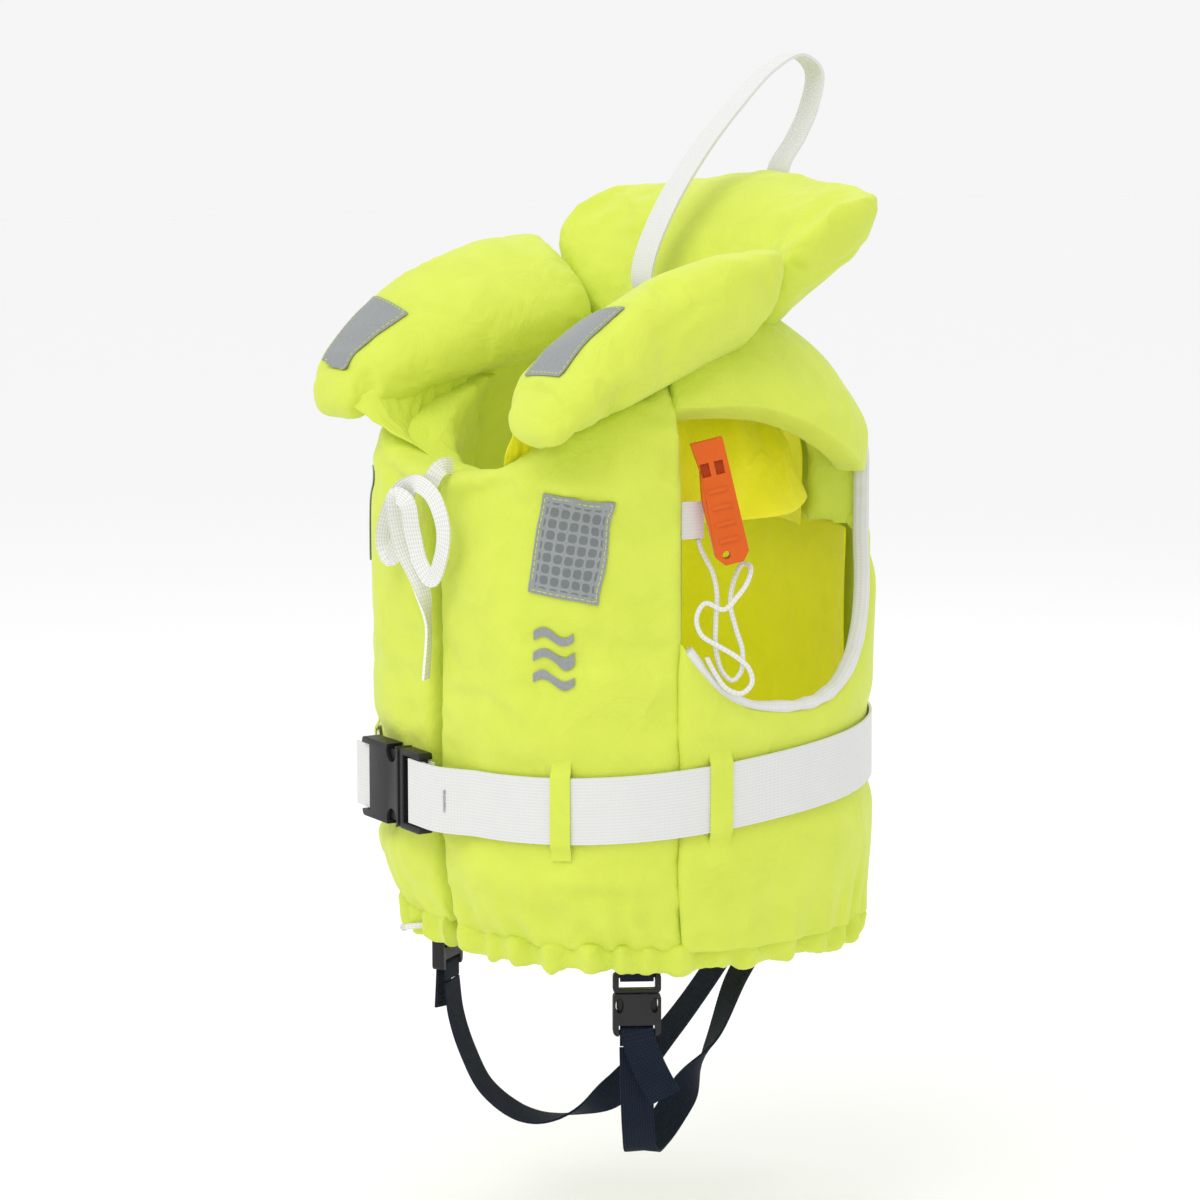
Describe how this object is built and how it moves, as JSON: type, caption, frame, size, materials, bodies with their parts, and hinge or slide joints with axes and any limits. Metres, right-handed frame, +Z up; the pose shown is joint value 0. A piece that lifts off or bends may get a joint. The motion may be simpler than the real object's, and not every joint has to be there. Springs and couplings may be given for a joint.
{
  "type": "life jacket",
  "caption": "Foam-filled buoyancy life jacket with quilted front panels, folding head collar, lifting loop, waist belt with side-release buckle, crotch straps and whistle.",
  "frame": {"origin": "on the worn torso's vertical axis, at the height of the jacket's hem", "axes": "+Z up along the torso, +X the wearer's left, the front faces -Y"},
  "size_m": [0.3154, 0.3168, 0.6921],
  "materials": {
    "shell_fabric": "fluorescent yellow-green coated polyester, matt",
    "lining_fabric": "yellow-green lining, matt, slightly darker",
    "foam": "closed-cell buoyancy foam, soft and matt",
    "white_webbing": "woven white polyester webbing",
    "white_cord": "braided white cord",
    "navy_webbing": "woven navy webbing",
    "reflective": "grey reflective tape, satin",
    "emblem_print": "grey reflective print",
    "black_plastic": "moulded black plastic",
    "orange_plastic": "moulded orange plastic"
  },
  "bodies": {
    "jacket": {"front_cover_left": "shell_fabric", "front_foam_left_outer": "foam", "front_foam_left_inner": "foam", "side_panel_left": "shell_fabric", "shoulder_left": "shell_fabric", "armhole_binding_left": "white_webbing", "shoulder_tab_left": "white_webbing", "belt_loop_front_left": "shell_fabric", "belt_loop_side_left": "shell_fabric", "chest_patch_left": "reflective", "crotch_tongue_left": "black_plastic", "crotch_tab_left": "navy_webbing", "front_cover_right": "shell_fabric", "front_foam_right_outer": "foam", "front_foam_right_inner": "foam", "side_panel_right": "shell_fabric", "shoulder_right": "shell_fabric", "armhole_binding_right": "white_webbing", "shoulder_tab_right": "white_webbing", "belt_loop_front_right": "shell_fabric", "belt_loop_side_right": "shell_fabric", "chest_patch_right": "reflective", "crotch_tongue_right": "black_plastic", "crotch_tab_right": "navy_webbing", "back_cover_upper": "lining_fabric", "back_foam_upper": "foam", "back_panel_lower": "lining_fabric", "hem_casing": "shell_fabric", "hem_drawcord": "white_cord", "belt_webbing": "white_webbing", "buckle_socket": "black_plastic", "belt_tail": "white_webbing", "chest_emblem": "emblem_print", "lace": "white_cord", "whistle_holder": "white_webbing", "whistle_lanyard": "white_cord"},
    "collar_rear": {"collar_cover_rear": "shell_fabric", "collar_foam_rear": "foam", "lifting_loop": "white_webbing"},
    "collar_left": {"collar_cover_left": "shell_fabric", "collar_foam_left": "foam", "collar_patch_left": "reflective"},
    "collar_right": {"collar_cover_right": "shell_fabric", "collar_foam_right": "foam", "collar_patch_right": "reflective"},
    "buckle_tongue": {"buckle_tongue": "black_plastic", "belt_end_loop": "white_webbing"},
    "buckle_arm_upper": {"buckle_arm_upper": "black_plastic"},
    "buckle_arm_lower": {"buckle_arm_lower": "black_plastic"},
    "whistle": {"whistle": "orange_plastic"},
    "crotch_socket_left": {"crotch_socket_left": "black_plastic", "crotch_fold_left": "navy_webbing", "crotch_strap_left": "navy_webbing"},
    "crotch_arm_front_left": {"crotch_arm_front_left": "black_plastic"},
    "crotch_arm_back_left": {"crotch_arm_back_left": "black_plastic"},
    "crotch_socket_right": {"crotch_socket_right": "black_plastic", "crotch_fold_right": "navy_webbing", "crotch_strap_right": "navy_webbing"},
    "crotch_arm_front_right": {"crotch_arm_front_right": "black_plastic"},
    "crotch_arm_back_right": {"crotch_arm_back_right": "black_plastic"}
  },
  "joints": [
    {"name": "collar_rear_fold", "type": "hinge", "parent": "jacket", "child": "collar_rear", "pos_m": [0, 0.0692, 0.3882], "axis": [-1, 0, 0], "range_deg": [0, 50]},
    {"name": "collar_left_fold", "type": "hinge", "parent": "jacket", "child": "collar_left", "pos_m": [0.066, -0.055, 0.336], "axis": [0, -0.972, -0.235], "range_deg": [0, 50]},
    {"name": "collar_right_fold", "type": "hinge", "parent": "jacket", "child": "collar_right", "pos_m": [-0.066, -0.055, 0.336], "axis": [0, 0.972, 0.235], "range_deg": [0, 50]},
    {"name": "buckle_release", "type": "slide", "parent": "jacket", "child": "buckle_tongue", "axis": [0.9968, -0.0797, 0], "range_m": [0, 0.034]},
    {"name": "buckle_arm_upper_squeeze", "type": "hinge", "parent": "buckle_tongue", "child": "buckle_arm_upper", "pos_m": [-0.02444, -0.14568, 0.11834], "axis": [0.0797, 0.9968, 0], "range_deg": [-4, 0], "stiffness_Nm_per_rad": 0.05},
    {"name": "buckle_arm_lower_squeeze", "type": "hinge", "parent": "buckle_tongue", "child": "buckle_arm_lower", "pos_m": [-0.02444, -0.14568, 0.08234], "axis": [0.0797, 0.9968, 0], "range_deg": [0, 4], "stiffness_Nm_per_rad": 0.05},
    {"name": "crotch_release_left", "type": "slide", "parent": "jacket", "child": "crotch_socket_left", "axis": [0, 0, -1], "range_m": [0, 0.018]},
    {"name": "crotch_arm_front_squeeze_left", "type": "hinge", "parent": "jacket", "child": "crotch_arm_front_left", "pos_m": [0.10027, -0.07265, -0.014], "axis": [-0.8545, 0.5194, 0], "range_deg": [-6, 0], "stiffness_Nm_per_rad": 0.02},
    {"name": "crotch_arm_back_squeeze_left", "type": "hinge", "parent": "jacket", "child": "crotch_arm_back_left", "pos_m": [0.11066, -0.05556, -0.014], "axis": [-0.8545, 0.5194, 0], "range_deg": [0, 6], "stiffness_Nm_per_rad": 0.02},
    {"name": "crotch_release_right", "type": "slide", "parent": "jacket", "child": "crotch_socket_right", "axis": [0, 0, -1], "range_m": [0, 0.018]},
    {"name": "crotch_arm_front_squeeze_right", "type": "hinge", "parent": "jacket", "child": "crotch_arm_front_right", "pos_m": [-0.11066, -0.05556, -0.014], "axis": [0.8545, 0.5194, 0], "range_deg": [-6, 0], "stiffness_Nm_per_rad": 0.02},
    {"name": "crotch_arm_back_squeeze_right", "type": "hinge", "parent": "jacket", "child": "crotch_arm_back_right", "pos_m": [-0.10027, -0.07265, -0.014], "axis": [0.8545, 0.5194, 0], "range_deg": [0, 6], "stiffness_Nm_per_rad": 0.02},
    {"name": "whistle_pull", "type": "slide", "parent": "jacket", "child": "whistle", "axis": [0.866, -0.5, 0], "range_m": [0, 0.05]}
  ]
}
